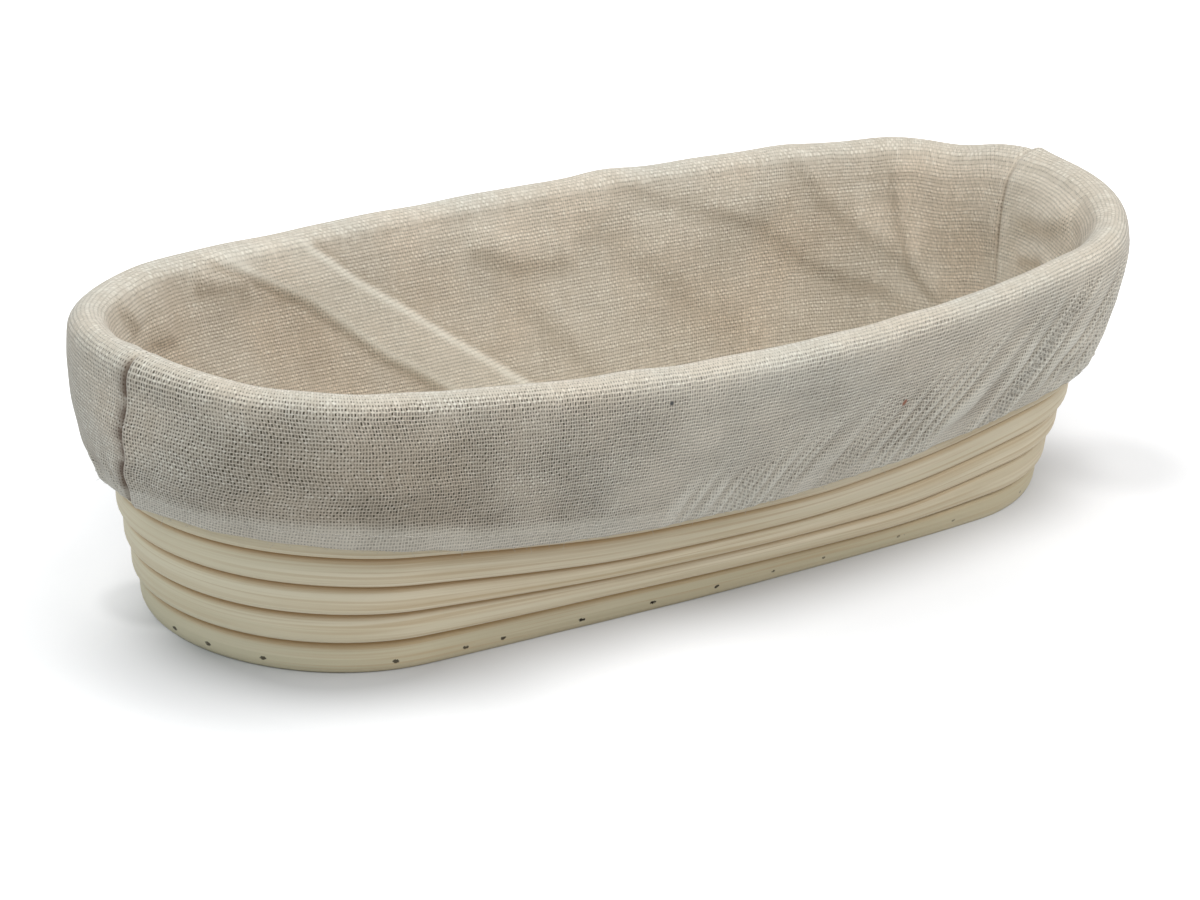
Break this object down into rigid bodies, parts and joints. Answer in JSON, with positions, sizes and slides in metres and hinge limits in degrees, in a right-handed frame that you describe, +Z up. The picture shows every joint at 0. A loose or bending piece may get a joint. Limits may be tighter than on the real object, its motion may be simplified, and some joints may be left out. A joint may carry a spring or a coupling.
{
  "type": "proofing basket",
  "caption": "Oblong cane basket for proofing bread dough, wound in level courses, with a linen liner turned down over the rim and drawn in by an elastic hem.",
  "frame": {"origin": "on the floor under the middle of the basket", "axes": "+X along the basket, +Z up; the liner's seam and both ends lie in the XZ plane"},
  "size_m": [0.36, 0.1624, 0.0893],
  "materials": {
    "cane": "peeled cane, bare, satin",
    "linen": "coarse undyed plain-weave linen",
    "elastic": "white woven elastic",
    "steel": "dull dark wire"
  },
  "bodies": {
    "basket": {"wall_cane": "cane", "base_cane": "cane", "base_core": "cane", "staple_01": "steel", "staple_02": "steel", "staple_03": "steel", "staple_04": "steel", "staple_05": "steel", "staple_06": "steel", "staple_07": "steel", "staple_08": "steel", "staple_09": "steel", "staple_10": "steel", "staple_11": "steel", "staple_12": "steel", "staple_13": "steel", "staple_14": "steel", "staple_15": "steel", "staple_16": "steel", "staple_17": "steel", "staple_18": "steel", "staple_19": "steel", "staple_20": "steel", "staple_21": "steel", "staple_22": "steel", "staple_23": "steel", "staple_24": "steel", "staple_25": "steel"},
    "liner": {"liner_front": "linen", "liner_rear": "linen", "cuff_front": "linen", "cuff_rear": "linen", "hem_elastic": "elastic"}
  },
  "joints": [
    {"name": "liner_lift", "type": "slide", "parent": "basket", "child": "liner", "axis": [0, 0, 1], "range_m": [0, 0.12], "deforming": ["cuff_front", "cuff_rear", "hem_elastic"]}
  ]
}
